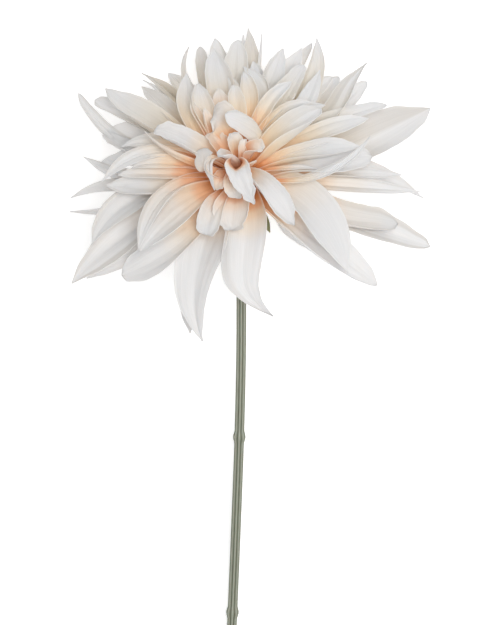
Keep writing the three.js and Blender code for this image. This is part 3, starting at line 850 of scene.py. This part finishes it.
draw_bract = make_draw(BRACT_SEED)
bracts = []
for number in range(BRACT_COUNT):
    degrees = BRACT_FIRST + 360 * number / BRACT_COUNT
    degrees += (draw_bract() - 0.5) * BRACT_TURN_SCATTER
    outward = outward_at(math.radians(degrees))
    length = BRACT_LENGTH * (BRACT_SHORTEST + BRACT_SPREAD * draw_bract())
    root = outward * BRACT_OUT - FACE * BRACT_ROOT_BACK
    bend = outward * (BRACT_OUT + length * BRACT_BEND) - FACE * BRACT_BEND_BACK
    tip = outward * (BRACT_OUT + length) - FACE * BRACT_TIP_BACK
    bpy.ops.object.select_all(action="DESELECT")
    bpy.ops.mesh.primitive_grid_add(x_subdivisions=BRACT_STEPS, y_subdivisions=BRACT_LANES, size=2)
    bract = bpy.context.object
    shape_blade(bract, root, bend, tip, BRACT_WIDTH, petal_look(LAYERS["back"], BRACT_LOOK, 0))
    bracts.append(bract)
bract_ring = join_blades("bracts", bracts, BRACT_THICK)

leaf_green, leaf = make_material("leaf_green", {
    "Roughness": 0.5,
    "Subsurface Weight": 0.15,
    "Subsurface Scale": 0.001,
})
tree = leaf_green.node_tree
coords = tree.nodes.new("ShaderNodeTexCoord")
mottle = noise(tree, coords.outputs["Object"], MOTTLE_SCALE, detail=4)
feed(tree, leaf.inputs["Base Color"], coloured(tree, mottle, LEAF_STOPS))
add_relief(tree, leaf, mottle, MOTTLE_RELIEF)
for green_piece in (calyx, bract_ring):
    green_piece.data.materials.append(leaf_green)
    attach(green_piece, "root")
    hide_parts("stem_and_calyx")

# The stem. It is one long hollow green stalk with eight ribs, swollen at the two joints
# where its leaves were, and cut straight across at its end.
STEM_STEPS = 420
STEM_LANES = 96
STEM_RIDGE = 0.28
RIDGES = 8
JOINT_SWELL = 0.9
JOINT_REACH = 4.5
JOINT_PLACES = (-156, -265)
STEM_ROUTE = [Vector(place) for place in (
    (0, -9.6, -12.8), (0, -15, -20), (0.3, -27, -31), (0.6, -50, -38.5), (0.6, -100, -44),
    (-0.6, -156, -50), (-2.6, -210, -56.5), (-4.9, -266, -63), (-7, -312, -66.8),
)]
FIBRE_STRETCH = (60, 90, 1)
RIB_CONTRAST = 0.36
RIB_STOPS = [(0.15, (0.11, 0.12, 0.075)), (0.9, (0.39, 0.41, 0.325))]


def along_route(route, share):
    """A place on the smooth curve through the route's points, and the way it runs there."""
    place = share * (len(route) - 1)
    span = min(int(place), len(route) - 2)
    u = place - span
    before = route[span - 1] if span else route[0] * 2 - route[1]
    after = route[span + 2] if span + 2 < len(route) else route[-1] * 2 - route[-2]
    four = [before, route[span], route[span + 1], after]
    steps = [four[i + 1] - four[i] for i in range(3)]
    gaps = [step.length ** 0.5 for step in steps]
    paces = [step / gap for step, gap in zip(steps, gaps)]
    leave = paces[0] - (four[2] - four[0]) / (gaps[0] + gaps[1]) + paces[1]
    reach = paces[1] - (four[3] - four[1]) / (gaps[1] + gaps[2]) + paces[2]
    leave = leave * gaps[1]
    reach = reach * gaps[1]
    bend_a = (four[1] - four[2]) * 2 + leave + reach
    bend_b = (four[2] - four[1]) * 3 - leave * 2 - reach
    centre = bend_a * u ** 3 + bend_b * u ** 2 + leave * u + four[1]
    run = bend_a * (3 * u * u) + bend_b * (2 * u) + leave
    return centre, run.normalized()


bpy.ops.object.select_all(action="DESELECT")
bpy.ops.mesh.primitive_grid_add(x_subdivisions=STEM_STEPS, y_subdivisions=STEM_LANES, size=2)
stem = bpy.context.object
stem.name = "stem"
stem.data.name = "stem"
for point in stem.data.vertices:
    centre, run = along_route(STEM_ROUTE, (point.co.x + 1) / 2)
    angle = math.pi * (point.co.y + 1)
    side = run.cross(ACROSS).normalized()
    level = side.cross(run)
    near = max(max(0, 1 - abs(centre.y - y) / JOINT_REACH) for y in JOINT_PLACES)
    ridge = STEM_RIDGE * math.cos(RIDGES * angle)
    radius = STEM_RADIUS + JOINT_SWELL * near * near * (3 - 2 * near) + ridge
    skin_place = centre + level * (radius * math.cos(angle))
    skin_place = skin_place + side * (radius * math.sin(angle))
    point.co = BASE_PLACE + skin_place * MM
close_skin(fill=True)
bpy.ops.object.shade_smooth_by_angle(angle=SMOOTH_ANGLE)

stem_skin, skin = make_material("stem_skin", {
    "Roughness": 0.45,
    "Subsurface Weight": 0.1,
    "Subsurface Scale": 0.001,
})
tree = stem_skin.node_tree
place, along, around = place_on(tree)
rib = counted(tree, "COSINE", counted(tree, "MULTIPLY", around, 2 * math.pi * RIDGES))
fibres = lengthwise_noise(tree, place, FIBRE_STRETCH, detail=4)
rib_share = counted(tree, "MULTIPLY_ADD", rib, RIB_CONTRAST, fibres)
feed(tree, skin.inputs["Base Color"], coloured(tree, rib_share, RIB_STOPS))
stem.data.materials.clear()
stem.data.materials.append(stem_skin)
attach(stem, "root")
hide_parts("stem_and_calyx")
